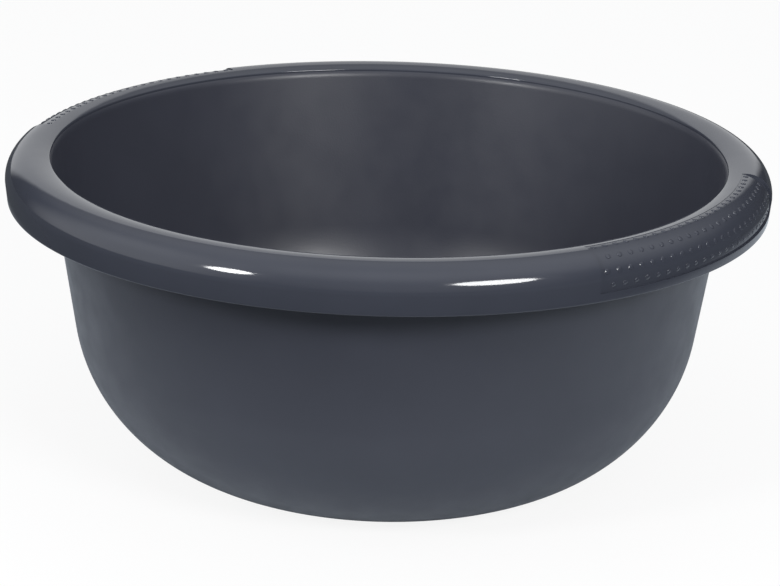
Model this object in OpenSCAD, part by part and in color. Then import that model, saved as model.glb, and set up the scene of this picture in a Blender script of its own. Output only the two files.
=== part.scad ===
// Round washing-up bowl, moulded in one piece of plastic.
// It has a foot ring, a rounded corner, a drafted wall and a hooked rim with two dotted grips.
// Millimetres, +Z up, origin on the floor at the middle of the foot. The grips lie on the X axis.

/* [Bowl] */
// Diameter over the rim
rim_d = 360; // [320:1:420]
// Height from the floor to the top of the rim
bowl_h = 152; // [130:1:175]
// Thickness of the wall, the base and the rim
wall_t = 2; // [1.6:0.1:2.6]
// Slope of the wall away from upright, in degrees
wall_draft = 8.3; // [5:0.1:11]
// Outer radius of the rounded corner between the base and the wall
corner_r = 83; // [60:1:95]

/* [Foot] */
// Diameter of the circle that the bowl stands on
foot_d = 176; // [150:1:190]
// Width of the foot ring
foot_w = 6; // [4:0.5:10]
// Height of the base over the floor inside the foot ring
foot_h = 1.6; // [1:0.1:3]
// Diameter of the gate mark in the middle of the base
gate_d = 8; // [5:0.5:14]
// How far the gate mark stands out of the base
gate_h = 0.6; // [0.3:0.1:0.9]

/* [Rim] */
// Width of the rim from its inner edge to its outer edge
rim_w = 21; // [19:0.5:26]
// Radius of the rim's outer roll
roll_r = 12; // [9:0.5:13]
// Radius of the gentle crown between the roll and the inner edge
crown_r = 24; // [20:1:40]
// Height of the skirt below the roll
skirt_h = 9; // [7:0.5:14]
// How far the skirt tucks in at its lower edge
skirt_tuck = 0.8; // [0:0.1:1.5]
// Rounding of the skirt's lower edge
skirt_round = 0.6; // [0.3:0.1:0.75]
// Radius on top of the lip at the inner edge
lip_r = 0.9; // [0.5:0.1:1.4]
// Height of the lip's upright side
lip_h = 0.5; // [0.3:0.1:1.5]
// Height of the flare between the wall and the lip
flare_h = 3; // [2:0.5:8]
// How far the flare spreads beyond the wall's own slope
flare_w = 0.9; // [0.5:0.1:2]
// Size of the fillet between the wall and the rim's underside
web_fillet = 3; // [1.5:0.5:5]

/* [Grips] */
// Angle that each grip takes on the rim, in degrees
grip_span = 50.4; // [30:0.2:80]
// Depth of the grip's recess on the skirt
grip_depth = 0.9; // [0.5:0.1:1.1]
// Width of the plain band between the rim's inner edge and the recess
grip_band = 6.5; // [5:0.5:8]
// Depth at which the recess starts beside the plain band
grip_start = 0.15; // [0.1:0.05:0.3]
// Height of the plain lip below the recess
grip_lip = 4; // [2.5:0.5:6]
// Rows of grip dots between the top of the rim and the skirt
dot_rows = 4; // [2:1:4]
// Angle between neighbouring dots of a row, in degrees
dot_pitch = 2; // [1.8:0.1:4]
// Diameter of a grip dot
dot_d = 2.6; // [2:0.1:4.4]
// Height of a grip dot over the recess
dot_h = 0.45; // [0.3:0.05:0.7]

/* [Hidden] */
$fn = 180;
plastic = "#4b4d56";
// Furthest that a chord may stray from the arc that it stands for
arc_tol = 0.03;
// Widest angle of one chord
arc_step = 15;
// Chords in a blend between two lines
blend_n = 5;
// Share of the flare's height over which it turns outwards most
flare_turn = 0.35;
// Slope width of the foot ring's inner side
foot_slope = 1;
// Length of the blend between the floor and the rounded corner
floor_blend = 8;
// Room round the recess cutter, so that it clears the rim
cut_room = 4;
// Part of a dot that is sunk in the wall
dot_sink = 0.6;
// Sides of a dot's outline
dot_sides = 8;
// Places of the top row and the bottom row on the recess's ellipse, in degrees
dot_start = 82;
dot_end = -10;
// Plain angle between the end of the recess and the middle of the first dot
dot_margin = 1.2;

rim_r = rim_d/2;
foot_r = foot_d/2;
edge_r = rim_r - rim_w;
floor_z = foot_h + wall_t;
// Centres of the rim's roll and crown, which meet on top of the rim
roll_c = [rim_r - roll_r, bowl_h - roll_r];
crown_c = [roll_c.x, bowl_h - crown_r];
skirt_z = roll_c.y - skirt_h;
// The lip's top touches the crown from inside
lip_x = edge_r + lip_r;
lip_c = [lip_x, crown_c.y + sqrt(pow(crown_r - lip_r, 2) - pow(crown_c.x - lip_x, 2))];
lip_top = atan2(lip_c.y - crown_c.y, lip_c.x - crown_c.x);
lip_foot = [edge_r, lip_c.y - lip_h];
// The wall runs along wall_dir, and wall_out points away from the water
wall_dir = [sin(wall_draft), cos(wall_draft)];
wall_out = [cos(wall_draft), -sin(wall_draft)];
wall_in_top = lip_foot - [flare_w, 0];
wall_out_top = wall_in_top + wall_t*wall_out;
// The corner touches the wall and ends on the foot circle
foot_gap = wall_out_top - corner_r*wall_out - [foot_r, 0];
foot_run = foot_gap*wall_dir;
corner_slide = -foot_run + sqrt(pow(foot_run, 2) - foot_gap*foot_gap + pow(corner_r, 2));
corner_c = wall_out_top - corner_r*wall_out + corner_slide*wall_dir;
corner_end = atan2(-corner_c.y, foot_r - corner_c.x);
// The grip's recess is a quarter ellipse that runs down into the skirt
grip_top = crown_z(edge_r + grip_band) - grip_start;
grip_c = [edge_r + grip_band, roll_c.y];
grip_half = [rim_r - grip_depth - grip_c.x, grip_top - roll_c.y];
ledge_z = skirt_z + grip_lip;

// Height of the crown's surface at radius r
function crown_z(r) = crown_c.y + sqrt(pow(crown_r, 2) - pow(crown_c.x - r, 2));
// Point at angle a on a circle round c
function polar(c, r, a) = c + r*[cos(a), sin(a)];
// Angle of a chord that keeps to arc_tol on a circle of radius r
function chord(r) = min(arc_step, 2*acos(1 - arc_tol/r));
// Points along an arc round c, from angle a0 to angle a1
function arc(c, r, a0, a1) =
    let (n = ceil(abs(a1 - a0)/chord(r)))
    [for (i = [0:n]) polar(c, r, a0 + (a1 - a0)*i/n)];
// Points along a blend that leaves p0 towards the corner q and arrives at p1
function blend(p0, q, p1) =
    [for (i = [0:blend_n])
        let (t = i/blend_n)
        pow(1 - t, 2)*p0 + 2*t*(1 - t)*q + pow(t, 2)*p1];
// Point on the line through p along direction d where it meets the circle round c from inside
function meet(p, d, c, r) =
    let (q = p - c, run = q*d)
    p + d*(sqrt(pow(run, 2) - q*q + pow(r, 2)) - run);

// Underside: gate side of the base, foot ring, corner and wall, up to the rim
function outer_side() =
    let (top = meet(wall_out_top - corner_r*wall_dir/2, wall_dir, crown_c, crown_r - wall_t),
         a = atan2(top.y - crown_c.y, top.x - crown_c.x),
         a_web = a - web_fillet/(crown_r - wall_t)*180/PI,
         under = polar(crown_c, crown_r - wall_t, a_web))
    concat(
        [[0, foot_h], [foot_r - foot_w - foot_slope, foot_h], [foot_r - foot_w, 0]],
        arc(corner_c, corner_r, corner_end, -wall_draft),
        blend(top - web_fillet*wall_dir, top, under),
        arc(crown_c, crown_r - wall_t, a_web, 90));
// The roll and the skirt, from inside the hook round the lower edge to the outside
function hook_side() =
    let (out = [rim_r - skirt_tuck, skirt_z],
         in = out - [wall_t, 0],
         up = [0, skirt_round],
         across = [skirt_round, 0])
    concat(
        arc(roll_c, roll_r - wall_t, 90, 0),
        blend(in + up, in, in + across),
        blend(out - across, out, out + up),
        arc(roll_c, roll_r, 0, 90));
// Top and inside: crown, lip, flare, wall and corner, down to the floor
function inner_side() =
    let (turn = wall_in_top - flare_turn*flare_h*wall_dir,
         start = wall_in_top - flare_h*wall_dir,
         r = corner_r - wall_t,
         a_floor = -asin((corner_c.y - floor_z)/r),
         knee = polar(corner_c, r, a_floor),
         a_blend = a_floor + floor_blend/r*180/PI)
    concat(
        arc(crown_c, crown_r, 90, lip_top),
        arc(lip_c, lip_r, lip_top, 180),
        blend(lip_foot, turn, start),
        arc(corner_c, r, -wall_draft, a_blend),
        blend(polar(corner_c, r, a_blend), knee, knee - [floor_blend, 0]),
        [[0, floor_z]]);

// The whole wall as one turned shape
module shell() {
    rotate_extrude() polygon(concat(outer_side(), hook_side(), inner_side()));
}

// Everything that the recess of one grip takes away
module grip_cut() {
    n = ceil(90/chord(grip_half.x));
    slope = skirt_tuck/skirt_h;
    far = rim_r + cut_room;
    rotate([0, 0, -grip_span/2])
        rotate_extrude(angle = grip_span)
            polygon(concat(
                [[grip_c.x, bowl_h + cut_room]],
                [for (i = [0:n]) grip_c + [grip_half.x*sin(90*i/n), grip_half.y*cos(90*i/n)]],
                [[grip_c.x + grip_half.x - slope*(roll_c.y - ledge_z), ledge_z]],
                [[far, ledge_z], [far, bowl_h + cut_room]]));
}

// The rows of raised dots in one grip, where every other row is shifted by half a step
module grip_dots() {
    for (row = [0:dot_rows - 1]) {
        a = dot_start + (dot_end - dot_start)*row/(dot_rows - 1);
        at = grip_c + [grip_half.x*cos(a), grip_half.y*sin(a)];
        lean = atan2(cos(a)/grip_half.x, sin(a)/grip_half.y);
        steps = floor((grip_span - 2*dot_margin)/dot_pitch) - row % 2;
        for (i = [0:steps])
            rotate([0, 0, dot_pitch*(i - steps/2)])
                translate([at.x, 0, at.y])
                    rotate([0, lean, 0])
                        translate([0, 0, -dot_sink])
                            rotate([0, 0, 180/dot_sides])
                                cylinder(h = dot_sink + dot_h, d = dot_d, $fn = dot_sides);
    }
}

module bowl() {
    color(plastic) {
        difference() {
            shell();
            for (side = [0, 180])
                rotate([0, 0, side]) grip_cut();
        }
        for (side = [0, 180])
            rotate([0, 0, side]) grip_dots();
        translate([0, 0, foot_h - gate_h])
            cylinder(h = gate_h + wall_t/2, d = gate_d);
    }
}

bowl();
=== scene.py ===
from math import acos, asin, atan2, ceil, cos, pi, radians, sin, sqrt, tan

import bmesh
import bpy
from mathutils import Matrix, Vector


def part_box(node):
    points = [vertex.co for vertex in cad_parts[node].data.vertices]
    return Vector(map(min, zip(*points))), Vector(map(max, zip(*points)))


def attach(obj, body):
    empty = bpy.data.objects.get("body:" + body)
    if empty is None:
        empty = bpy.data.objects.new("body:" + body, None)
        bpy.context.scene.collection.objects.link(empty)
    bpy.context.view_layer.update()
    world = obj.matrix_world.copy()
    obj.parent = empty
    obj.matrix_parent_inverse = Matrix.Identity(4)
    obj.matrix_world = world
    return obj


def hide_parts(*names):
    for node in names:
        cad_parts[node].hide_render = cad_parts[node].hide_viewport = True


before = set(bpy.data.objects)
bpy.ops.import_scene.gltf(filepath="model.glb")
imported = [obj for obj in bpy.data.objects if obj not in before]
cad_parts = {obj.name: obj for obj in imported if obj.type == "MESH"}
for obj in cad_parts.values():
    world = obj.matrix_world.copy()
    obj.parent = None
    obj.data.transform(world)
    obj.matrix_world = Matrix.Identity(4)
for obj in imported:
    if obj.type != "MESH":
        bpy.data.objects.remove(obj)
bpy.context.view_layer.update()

# Bowl: the whole object, one injection moulding in dark grey polypropylene.
# The section is drawn as a line and turned round the Z axis; the hooked rim is part of it.
# Lengths are in metres and heights count from the floor.
mm = 0.001
rim_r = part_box("bowl")[1].y
bowl_h = 152*mm
wall_t = 2*mm
wall_draft = radians(8.3)
corner_r = 83*mm
foot_r = 88*mm
foot_w = 6*mm
foot_slope = 1*mm
foot_h = 1.6*mm
floor_z = foot_h + wall_t
floor_blend = 8*mm
edge_r = rim_r - 21*mm
roll_r = 12*mm
crown_r = 24*mm
skirt_h = 9*mm
skirt_tuck = 0.8*mm
skirt_round = 0.6*mm
lip_r = 0.9*mm
lip_h = 0.5*mm
flare_h = 3*mm
flare_w = 0.9*mm
flare_turn = 0.35
web_fillet = 3*mm
arc_tol = 0.015*mm
blend_n = 5
weld_gap = 0.002*mm
smooth_angle = radians(35)


def on_circle(centre, radius, angle):
    """Point at an angle on a circle in the section plane."""
    return centre + radius*Vector((cos(angle), sin(angle)))


def angle_of(point, centre):
    """Angle of a point as seen from a centre in the section plane."""
    return atan2(point.y - centre.y, point.x - centre.x)


def blend(start, corner, end):
    """Points along a soft corner, after its start."""
    steps = [i/blend_n for i in range(1, blend_n + 1)]
    return [(1 - t)**2*start + 2*t*(1 - t)*corner + t*t*end for t in steps]


def meet(point, way, centre, radius):
    """Where the line through a point meets a circle from inside."""
    gap = point - centre
    run = gap.dot(way)
    return point + way*(sqrt(run*run - gap.dot(gap) + radius*radius) - run)


def draw_section(name, start, moves):
    """Draws a section line in the XZ plane.

    A move is a point to run to, or a centre and an angle to swing through.
    """
    bpy.ops.object.select_all(action="DESELECT")
    bpy.ops.mesh.primitive_plane_add(size=mm, location=(start.x, 0, start.y))
    section = bpy.context.object
    section.name = name
    bpy.ops.object.transform_apply()
    bpy.ops.object.mode_set(mode="EDIT")
    bpy.ops.mesh.merge(type="CENTER")
    here = start
    for move in moves:
        if isinstance(move, Vector):
            step = move - here
            bpy.ops.mesh.extrude_region_move(TRANSFORM_OT_translate={"value": (step.x, 0, step.y)})
            here = move
        else:
            centre, turn = move
            radius = (here - centre).length
            steps = max(2, ceil(abs(turn)/(2*acos(1 - arc_tol/radius))))
            bpy.ops.mesh.spin(
                steps=steps, angle=turn, center=(centre.x, 0, centre.y), axis=(0, 1, 0))
            here = on_circle(centre, radius, angle_of(here, centre) + turn)
    bpy.ops.object.mode_set(mode="OBJECT")
    return section


def turn_section(section, start, angle, steps):
    """Turns a section line about the bowl's axis, from one angle on through another."""
    section.rotation_euler.z = start
    bpy.ops.object.select_all(action="DESELECT")
    section.select_set(True)
    bpy.context.view_layer.objects.active = section
    bpy.ops.object.transform_apply()
    bpy.ops.object.mode_set(mode="EDIT")
    bpy.ops.mesh.select_all(action="SELECT")
    bpy.ops.mesh.spin(steps=steps, angle=angle, center=(0, 0, 0), axis=(0, 0, -1))
    bpy.ops.object.mode_set(mode="OBJECT")


def join(pieces):
    """Joins pieces into the first one and merges the points that meet."""
    bpy.ops.object.select_all(action="DESELECT")
    for piece in pieces:
        piece.select_set(True)
    bpy.context.view_layer.objects.active = pieces[0]
    bpy.ops.object.join()
    bpy.ops.object.mode_set(mode="EDIT")
    bpy.ops.mesh.select_all(action="SELECT")
    bpy.ops.mesh.remove_doubles(threshold=weld_gap)
    bpy.ops.object.mode_set(mode="OBJECT")
    return pieces[0]


roll_c = Vector((rim_r - roll_r, bowl_h - roll_r))
crown_c = Vector((roll_c.x, bowl_h - crown_r))
skirt_z = roll_c.y - skirt_h
lip_x = edge_r + lip_r
lip_c = Vector((lip_x, crown_c.y + sqrt((crown_r - lip_r)**2 - (crown_c.x - lip_x)**2)))
lip_top = angle_of(lip_c, crown_c)
lip_foot = Vector((edge_r, lip_c.y - lip_h))
wall_dir = Vector((sin(wall_draft), cos(wall_draft)))
wall_out = Vector((cos(wall_draft), -sin(wall_draft)))
wall_in_top = lip_foot - Vector((flare_w, 0))
wall_out_top = wall_in_top + wall_t*wall_out
foot_gap = wall_out_top - corner_r*wall_out - Vector((foot_r, 0))
foot_run = foot_gap.dot(wall_dir)
corner_slide = sqrt(foot_run**2 - foot_gap.dot(foot_gap) + corner_r**2) - foot_run
corner_c = wall_out_top - corner_r*wall_out + corner_slide*wall_dir
corner_end = atan2(-corner_c.y, foot_r - corner_c.x)

# Underside, from the middle of the base over the foot and the wall to the top of the rim
under_r = crown_r - wall_t
web_top = meet(wall_out_top - corner_r/2*wall_dir, wall_dir, crown_c, under_r)
web_start = web_top - web_fillet*wall_dir
web_angle = angle_of(web_top, crown_c) - web_fillet/under_r
underside = [
    Vector((foot_r - foot_w - foot_slope, foot_h)),
    Vector((foot_r - foot_w, 0)),
    Vector((foot_r, 0)),
    (corner_c, -wall_draft - corner_end),
    web_start,
    *blend(web_start, web_top, on_circle(crown_c, under_r, web_angle)),
    (crown_c, pi/2 - web_angle),
    (roll_c, -pi/2)]

# Skirt, round its lower edge and up its outside to the ledge under the grip
skirt_out = Vector((rim_r - skirt_tuck, skirt_z))
skirt_in = skirt_out - Vector((wall_t, 0))
round_in = skirt_in + Vector((skirt_round, skirt_round))
round_out = skirt_out + Vector((-skirt_round, skirt_round))
skirt_up = Vector((skirt_out.x, skirt_z + skirt_round))
grip_lip = 4*mm
ledge_z = skirt_z + grip_lip
skirt_top = Vector((rim_r, roll_c.y))
skirt_edge = skirt_up.lerp(skirt_top, (ledge_z - skirt_up.y)/(skirt_top.y - skirt_up.y))
skirt = [
    round_in - Vector((skirt_round, 0)),
    (round_in, pi/2),
    round_out - Vector((0, skirt_round)),
    (round_out, pi/2),
    skirt_edge]

# Outside of the rim beside the grips: the plain roll and the outer part of the crown
grip_band = 6.5*mm
band_x = edge_r + grip_band
band_angle = acos((band_x - crown_c.x)/crown_r)
plain_roll = [
    skirt_top,
    (roll_c, pi/2),
    (crown_c, band_angle - pi/2)]

# Outside of the rim at the grips: a shallow recess over a ledge
grip_depth = 0.9*mm
grip_start = 0.15*mm
grip_c = Vector((band_x, roll_c.y))
band_top = on_circle(crown_c, crown_r, band_angle)
grip_half = Vector((rim_r - grip_depth - band_x, band_top.y - grip_start - roll_c.y))
grip_foot = Vector((rim_r - grip_depth - skirt_tuck/skirt_h*(roll_c.y - ledge_z), ledge_z))
grip_steps = 18
grip_angles = [radians(90*i/grip_steps) for i in range(grip_steps + 1)]
grip_roll = [
    grip_foot,
    *[grip_c + Vector((grip_half.x*cos(a), grip_half.y*sin(a))) for a in grip_angles],
    band_top]

# Inside, from the crown over the lip and down the wall to the middle of the floor
inner_r = corner_r - wall_t
flare_start = wall_in_top - flare_h*wall_dir
knee_angle = -asin((corner_c.y - floor_z)/inner_r)
blend_angle = knee_angle + floor_blend/inner_r
knee = on_circle(corner_c, inner_r, knee_angle)
floor_start = on_circle(corner_c, inner_r, blend_angle)
inside = [
    (crown_c, lip_top - band_angle),
    (lip_c, pi - lip_top),
    lip_foot,
    *blend(lip_foot, wall_in_top - flare_turn*flare_h*wall_dir, flare_start),
    on_circle(corner_c, inner_r, -wall_draft),
    (corner_c, blend_angle + wall_draft),
    *blend(floor_start, knee, knee - Vector((floor_blend, 0))),
    Vector((0, floor_z))]

# A quarter of the bowl, half a grip and the plain stretch next to it, is turned and then mirrored
grip_span = radians(50.4)
steps_at_grip = 42
steps_beside_grip = 54
base_middle = Vector((0, foot_h))
at_grip = draw_section("bowl_at_grip", base_middle, underside + skirt + grip_roll + inside)
turn_section(at_grip, 0, grip_span/2, steps_at_grip)
beside_grip = draw_section("bowl_beside_grip", base_middle, underside + skirt + plain_roll + inside)
turn_section(beside_grip, grip_span/2, pi/2 - grip_span/2, steps_beside_grip)
bowl = join([at_grip, beside_grip])
bowl.name = "bowl_wall"

# The recess ends in a small upright face
step_way = Vector((-sin(grip_span/2), cos(grip_span/2), 0))
on_step = 0.001*mm
mesh = bmesh.new()
mesh.from_mesh(bowl.data)
for part in (*mesh.verts, *mesh.edges, *mesh.faces):
    part.select = False
for edge in mesh.edges:
    if edge.is_boundary and all(abs(v.co.dot(step_way)) < on_step for v in edge.verts):
        edge.select_set(True)
mesh.to_mesh(bowl.data)
mesh.free()
bpy.ops.object.mode_set(mode="EDIT")
bpy.ops.mesh.select_mode(type="EDGE")
bpy.ops.mesh.edge_face_add()
bpy.ops.mesh.select_mode(type="VERT")
bpy.ops.object.mode_set(mode="OBJECT")

mirror = bowl.modifiers.new("other_quarters", "MIRROR")
mirror.use_axis = (True, True, False)
mirror.merge_threshold = weld_gap
bpy.ops.object.modifier_apply(modifier=mirror.name)
bpy.ops.object.mode_set(mode="EDIT")
bpy.ops.mesh.select_all(action="SELECT")
bpy.ops.mesh.remove_doubles(threshold=weld_gap)
bpy.ops.mesh.normals_make_consistent(inside=False)
bpy.ops.object.mode_set(mode="OBJECT")

# Grip dots: rows of low studs that stand on each recess, so that wet hands hold the rim.
# They are moulded with the bowl; one is turned and then copied, and its root is sunk in the wall.
dot_r = 1.3*mm
dot_sink = 0.5*mm
dot_rows = 4
dot_pitch = radians(2)
dot_start = radians(82)
dot_end = radians(-10)
dot_margin = radians(1.2)
dot_steps = 12
count_slack = 0.001
side_top = Vector((1.26*mm, 0.1*mm))
side_lean = radians(24)
shoulder_r = 0.2*mm
cap_slope = radians(15.5)
shoulder_c = on_circle(side_top, -shoulder_r, side_lean)
cap_edge = on_circle(shoulder_c, shoulder_r, pi/2 - cap_slope)
cap_c = Vector((0, cap_edge.y - cap_edge.x/tan(cap_slope)))
dome = draw_section("dot", Vector((0, -dot_sink)), [
    Vector((dot_r, -dot_sink)),
    side_top,
    (shoulder_c, pi/2 - cap_slope - side_lean),
    (cap_c, cap_slope)])
turn_section(dome, 0, 2*pi, dot_steps)
join([dome])
dots = []
for side in (0, pi):
    for row in range(dot_rows):
        at = dot_start + (dot_end - dot_start)*row/(dot_rows - 1)
        place = grip_c + Vector((grip_half.x*cos(at), grip_half.y*sin(at)))
        lean = atan2(cos(at)/grip_half.x, sin(at)/grip_half.y)
        steps = int((grip_span - 2*dot_margin)/dot_pitch + count_slack) - row % 2
        for i in range(steps + 1):
            dot = dome.copy()
            dot.data = dome.data.copy()
            bpy.context.collection.objects.link(dot)
            turn = side + dot_pitch*(i - steps/2)
            dot.data.transform(
                Matrix.Rotation(turn, 4, "Z")
                @ Matrix.Translation((place.x, 0, place.y))
                @ Matrix.Rotation(lean, 4, "Y"))
            dots.append(dot)
bpy.data.objects.remove(dome)

# Gate mark: the small round pad under the middle of the base, where the plastic entered the mould.
gate_r = 4*mm
gate_h = 0.6*mm
gate_sides = 48
gate_middle = foot_h + wall_t/4 - gate_h/2
bpy.ops.object.select_all(action="DESELECT")
bpy.ops.mesh.primitive_cylinder_add(
    vertices=gate_sides, radius=gate_r, depth=gate_h + wall_t/2, location=(0, 0, gate_middle))
bpy.ops.object.transform_apply()
gate = bpy.context.object
bowl = join([bowl, gate, *dots])
bpy.ops.object.mode_set(mode="EDIT")
bpy.ops.mesh.select_all(action="SELECT")
bpy.ops.mesh.normals_make_consistent(inside=False)
bpy.ops.object.mode_set(mode="OBJECT")
bpy.ops.object.shade_smooth_by_angle(angle=smooth_angle)


def linear(code):
    """Turns an sRGB hex value to a linear colour."""
    levels = [int(code[i:i + 2], 16)/255 for i in (1, 3, 5)]
    return [v/12.92 if v <= 0.04045 else ((v + 0.055)/1.055)**2.4 for v in levels] + [1]


def add_node(material, kind, settings=None, links=None):
    """Adds a node. Settings and links go by input name or number, or else by property name."""
    node = material.node_tree.nodes.new(kind)
    for name, value in (settings or {}).items():
        if isinstance(name, int) or name in node.inputs:
            node.inputs[name].default_value = value
        else:
            setattr(node, name, value)
    for name, source in (links or {}).items():
        material.node_tree.links.new(source, node.inputs[name])
    return node


# Polypropylene, moulded against polished steel on the rim: glossy, with faint haze from handling
# and slow waves in its reflections where the plastic shrank as it cooled
pp_ior = 1.49
rim_pp = bpy.data.materials.new("polypropylene_polished")
rim_pp.use_nodes = True
rim_shader = rim_pp.node_tree.nodes["Principled BSDF"]
rim_shader.inputs["IOR"].default_value = pp_ior
place = add_node(rim_pp, "ShaderNodeTexCoord").outputs["Object"]
cloud = add_node(rim_pp, "ShaderNodeTexNoise", {"Scale": 1/(30*mm), "Detail": 3}, {"Vector": place})
tint = add_node(rim_pp, "ShaderNodeMix", {
    "data_type": "RGBA", 6: linear("#373a43"), 7: linear("#3d404a")}, {0: cloud.outputs[0]})
haze = add_node(rim_pp, "ShaderNodeTexNoise", {"Scale": 1/(7*mm), "Detail": 4}, {"Vector": place})
haze_level = add_node(rim_pp, "ShaderNodeMapRange", {
    "From Min": 0.3, "From Max": 0.7, "To Min": 0.06, "To Max": 0.11}, {"Value": haze.outputs[0]})
wave = add_node(rim_pp, "ShaderNodeTexNoise", {"Scale": 1/(22*mm), "Detail": 1}, {"Vector": place})
wave_bump = add_node(rim_pp, "ShaderNodeBump", {"Distance": 0.12*mm}, {"Height": wave.outputs[0]})
rim_pp.node_tree.links.new(tint.outputs[2], rim_shader.inputs["Base Color"])
rim_pp.node_tree.links.new(haze_level.outputs[0], rim_shader.inputs["Roughness"])
rim_pp.node_tree.links.new(wave_bump.outputs[0], rim_shader.inputs["Normal"])

# Polypropylene, moulded against fine-blasted steel on the wall and base: satin, with a fine grain.
# The grain of the blasted steel is about 0.2 mm, and is drawn coarser here so that it shows.
# The foot ring is scuffed pale where it slides on the sink floor.
wall_pp = bpy.data.materials.new("polypropylene_satin")
wall_pp.use_nodes = True
wall_shader = wall_pp.node_tree.nodes["Principled BSDF"]
wall_shader.inputs["IOR"].default_value = pp_ior
place = add_node(wall_pp, "ShaderNodeTexCoord").outputs["Object"]
cloud = add_node(
    wall_pp, "ShaderNodeTexNoise", {"Scale": 1/(45*mm), "Detail": 4}, {"Vector": place})
tint = add_node(wall_pp, "ShaderNodeMix", {
    "data_type": "RGBA", 6: linear("#33353e"), 7: linear("#393b45")}, {0: cloud.outputs[0]})
height = add_node(wall_pp, "ShaderNodeSeparateXYZ", None, {0: place}).outputs["Z"]
foot = add_node(wall_pp, "ShaderNodeMapRange", {
    "interpolation_type": "SMOOTHSTEP",
    "From Min": 0.1*mm, "From Max": 1.4*mm, "To Min": 0.55, "To Max": 0}, {"Value": height})
rub = add_node(wall_pp, "ShaderNodeTexNoise", {"Scale": 1/(3*mm), "Detail": 5}, {"Vector": place})
scuff = add_node(
    wall_pp, "ShaderNodeMath", {"operation": "MULTIPLY"}, {0: foot.outputs[0], 1: rub.outputs[0]})
worn = add_node(wall_pp, "ShaderNodeMix", {
    "data_type": "RGBA", 7: linear("#8d8e94")}, {0: scuff.outputs[0], 6: tint.outputs[2]})
sheen = add_node(
    wall_pp, "ShaderNodeTexNoise", {"Scale": 1/(14*mm), "Detail": 4}, {"Vector": place})
sheen_level = add_node(wall_pp, "ShaderNodeMapRange", {
    "From Min": 0.3, "From Max": 0.7, "To Min": 0.34, "To Max": 0.42}, {"Value": sheen.outputs[0]})
dull = add_node(
    wall_pp, "ShaderNodeMath", {"operation": "ADD"},
    {0: sheen_level.outputs[0], 1: scuff.outputs[0]})
grain = add_node(
    wall_pp, "ShaderNodeTexNoise", {"Scale": 1/(0.9*mm), "Detail": 2}, {"Vector": place})
grain_bump = add_node(
    wall_pp, "ShaderNodeBump", {"Distance": 0.03*mm}, {"Height": grain.outputs[0]})
wall_pp.node_tree.links.new(worn.outputs[2], wall_shader.inputs["Base Color"])
wall_pp.node_tree.links.new(dull.outputs[0], wall_shader.inputs["Roughness"])
wall_pp.node_tree.links.new(grain_bump.outputs[0], wall_shader.inputs["Normal"])

bowl.data.materials.clear()
bowl.data.materials.append(wall_pp)
bowl.data.materials.append(rim_pp)
for face in bowl.data.polygons:
    across = sqrt(face.center.x**2 + face.center.y**2)
    on_rim = face.center.z > lip_foot.y or across > wall_out_top.x
    face.material_index = 1 if on_rim else 0

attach(bowl, "root")
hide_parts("bowl")

# Ground: a plain white sheet that the bowl stands on, with the bowl's shadow on it.
# The camera sees it nearly pure white, as in a catalogue.
# Reflections and bounced light see a pool of light painted on it near the bowl, and painted shade
# beyond.
ground_size = 12
pool_middle = (-0.028, 0.127, 0)
bpy.ops.object.select_all(action="DESELECT")
bpy.ops.mesh.primitive_plane_add(size=ground_size, location=(0, 0, 0))
ground = bpy.context.object
ground.name = "ground"
paper = bpy.data.materials.new("white_paper")
paper.use_nodes = True
sheet = paper.node_tree.nodes["Principled BSDF"]
sheet.inputs["Roughness"].default_value = 0.9
seen = add_node(paper, "ShaderNodeLightPath").outputs["Is Camera Ray"]
place = add_node(paper, "ShaderNodeTexCoord").outputs["Object"]
# Painted light and shade: for all rays but the camera's, the sheet's colour is light inside a pool
# round the bowl and dark beyond it.
pool = add_node(
    paper, "ShaderNodeVectorMath", {"operation": "DISTANCE", 1: pool_middle}, {0: place})
shade = add_node(paper, "ShaderNodeMapRange", {
    "interpolation_type": "SMOOTHSTEP",
    "From Min": 0.33, "From Max": 0.44}, {"Value": pool.outputs["Value"]})
painted_pool_tone = add_node(paper, "ShaderNodeMix", {
    "data_type": "RGBA", 6: linear("#d0d8e0"), 7: linear("#3c4044")}, {0: shade.outputs[0]})
tone = add_node(paper, "ShaderNodeMix", {
    "data_type": "RGBA", 7: linear("#f7f7f7")}, {0: seen, 6: painted_pool_tone.outputs[2]})
paper.node_tree.links.new(tone.outputs[2], sheet.inputs["Base Color"])
share = add_node(paper, "ShaderNodeMapRange", {"To Max": 0.88}, {"Value": seen})
white = add_node(paper, "ShaderNodeEmission", {"Color": (1, 1, 1, 1), "Strength": 1.0})
mixed = add_node(paper, "ShaderNodeMixShader", None, {
    0: share.outputs[0], 1: sheet.outputs["BSDF"], 2: white.outputs[0]})
paper.node_tree.links.new(
    mixed.outputs[0], paper.node_tree.nodes["Material Output"].inputs["Surface"])
ground.data.materials.append(paper)

# Light: a pale room with soft patches of light, and two oval soft boxes low in front of the bowl.
# Directions are in degrees: round from the camera's right hand, and up from level.
heading = radians(34.8)


def toward(azimuth, elevation):
    """Unit vector to an azimuth and elevation."""
    azimuth, elevation = radians(azimuth) + heading, radians(elevation)
    return Vector((cos(elevation)*cos(azimuth), cos(elevation)*sin(azimuth), sin(elevation)))


def soft_box(name, azimuth, elevation, width, height, power, distance):
    """A soft box that looks at the rim. Lengths are in metres and power is in watts."""
    way = toward(azimuth, elevation)
    lamp = bpy.data.objects.new(name, bpy.data.lights.new(name, "AREA"))
    lamp.data.shape = "ELLIPSE"
    lamp.data.size = width
    lamp.data.size_y = height
    lamp.data.energy = power
    lamp.location = Vector((0, 0, bowl_h)) + distance*way
    lamp.rotation_euler = way.to_track_quat("Z", "Y").to_euler()
    bpy.context.collection.objects.link(lamp)


soft_box("soft_box_right", -59.0, 26.5, 0.70, 0.46, 19, 1.75)
soft_box("soft_box_left", -135.4, 25.5, 0.38, 0.40, 11.5, 1.74)

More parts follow.
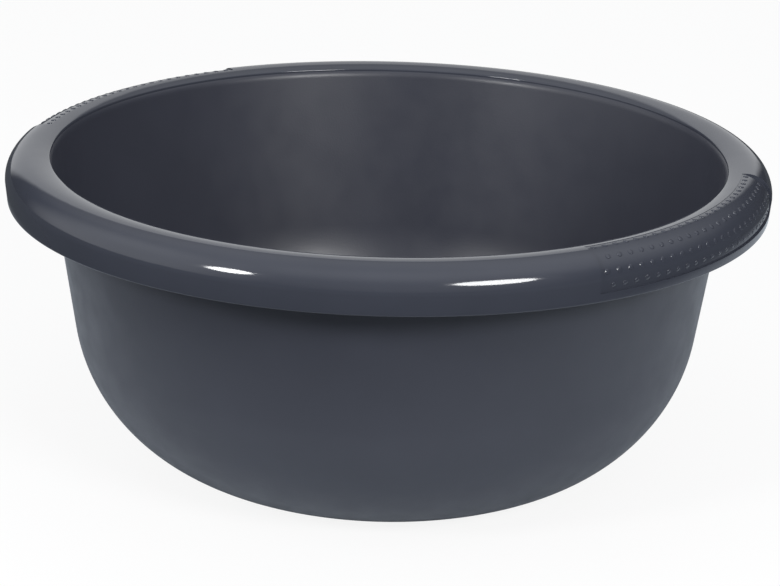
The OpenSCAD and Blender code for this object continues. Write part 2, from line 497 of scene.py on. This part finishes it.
# Each patch has an azimuth, an elevation, the radius of its even part, the radius at which it ends,
# both in degrees, and its strength
patches = {
    "all_round": (0, 90, 179, 180, 0.03),
    "ceiling": (90, 85, 10, 68, 0.74),
    "backdrop": (96, 8, 22, 28, 0.8),
    "front": (-84, 34, 10, 60, 0.34),
    "left": (-172, 14, 10, 50, 1.05),
    "right": (10, 50, 10, 40, 0.2)}
world = bpy.data.worlds.new("room")
bpy.context.scene.world = world
world.use_nodes = True
way_seen = add_node(world, "ShaderNodeTexCoord").outputs["Generated"]
level = None
for name, (azimuth, elevation, inner, outer, strength) in patches.items():
    along = add_node(world, "ShaderNodeVectorMath", {"operation": "DOT_PRODUCT"}, {0: way_seen})
    along.inputs[1].default_value = toward(azimuth, elevation)
    patch = add_node(world, "ShaderNodeMapRange", {
        "interpolation_type": "SMOOTHSTEP",
        "From Min": cos(radians(outer)), "From Max": cos(radians(inner)),
        "To Max": strength}, {"Value": along.outputs["Value"]})
    patch.name = name
    if level is None:
        level = patch.outputs[0]
    else:
        total = add_node(
            world, "ShaderNodeMath", {"operation": "ADD"}, {0: level, 1: patch.outputs[0]})
        level = total.outputs[0]
room = world.node_tree.nodes["Background"]
room.inputs["Color"].default_value = linear("#fafcff")
world.node_tree.links.new(level, room.inputs["Strength"])
sky = add_node(world, "ShaderNodeBackground", {"Color": (1, 1, 1, 1), "Strength": 1.0})
seen = add_node(world, "ShaderNodeLightPath").outputs["Is Camera Ray"]
mixed = add_node(
    world, "ShaderNodeMixShader", None, {0: seen, 1: room.outputs[0], 2: sky.outputs[0]})
world.node_tree.links.new(
    mixed.outputs[0], world.node_tree.nodes["World Output"].inputs["Surface"])

# Camera: looks down on the bowl from about 1.2 m away, turned and tilted as in the photograph
camera = bpy.data.objects.new("camera", bpy.data.cameras.new("camera"))
camera.data.sensor_width = 36
camera.data.lens = 122.51
camera.data.clip_end = 20
camera.location = (0.68845, -0.99054, 0.49440)
camera.rotation_euler = (radians(71.0315), radians(-1.3573), radians(35.1765))
bpy.context.collection.objects.link(camera)
bpy.context.scene.camera = camera
bpy.context.scene.view_settings.view_transform = "Standard"
